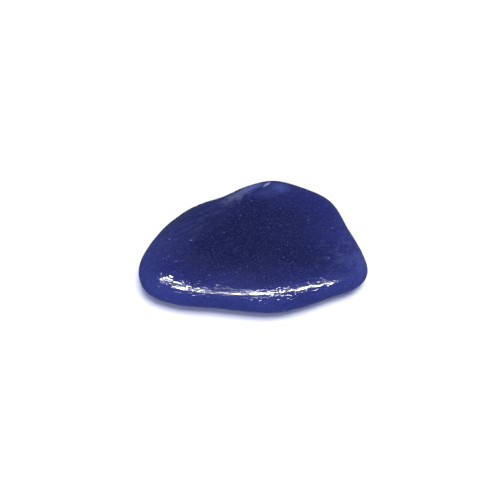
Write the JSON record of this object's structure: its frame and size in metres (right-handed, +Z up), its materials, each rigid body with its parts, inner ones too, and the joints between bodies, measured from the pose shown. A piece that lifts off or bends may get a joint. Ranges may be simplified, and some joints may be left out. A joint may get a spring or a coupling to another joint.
{
  "type": "tumbled blue quartz stone",
  "caption": "Flat tumbled pebble of deep blue quartz with a rounded, polished rim, a slightly domed top and a flat underside to lie on.",
  "frame": {"origin": "on the flat underside, below the middle of the stone's box", "axes": "+X along the length towards the narrower tip, +Y across the width towards the peaked side, +Z up through the thickness"},
  "size_m": [0.036, 0.0242, 0.0052],
  "materials": {
    "blue_quartz": "polished"
  },
  "bodies": {
    "root": {"stone": "blue_quartz"}
  },
  "joints": []
}
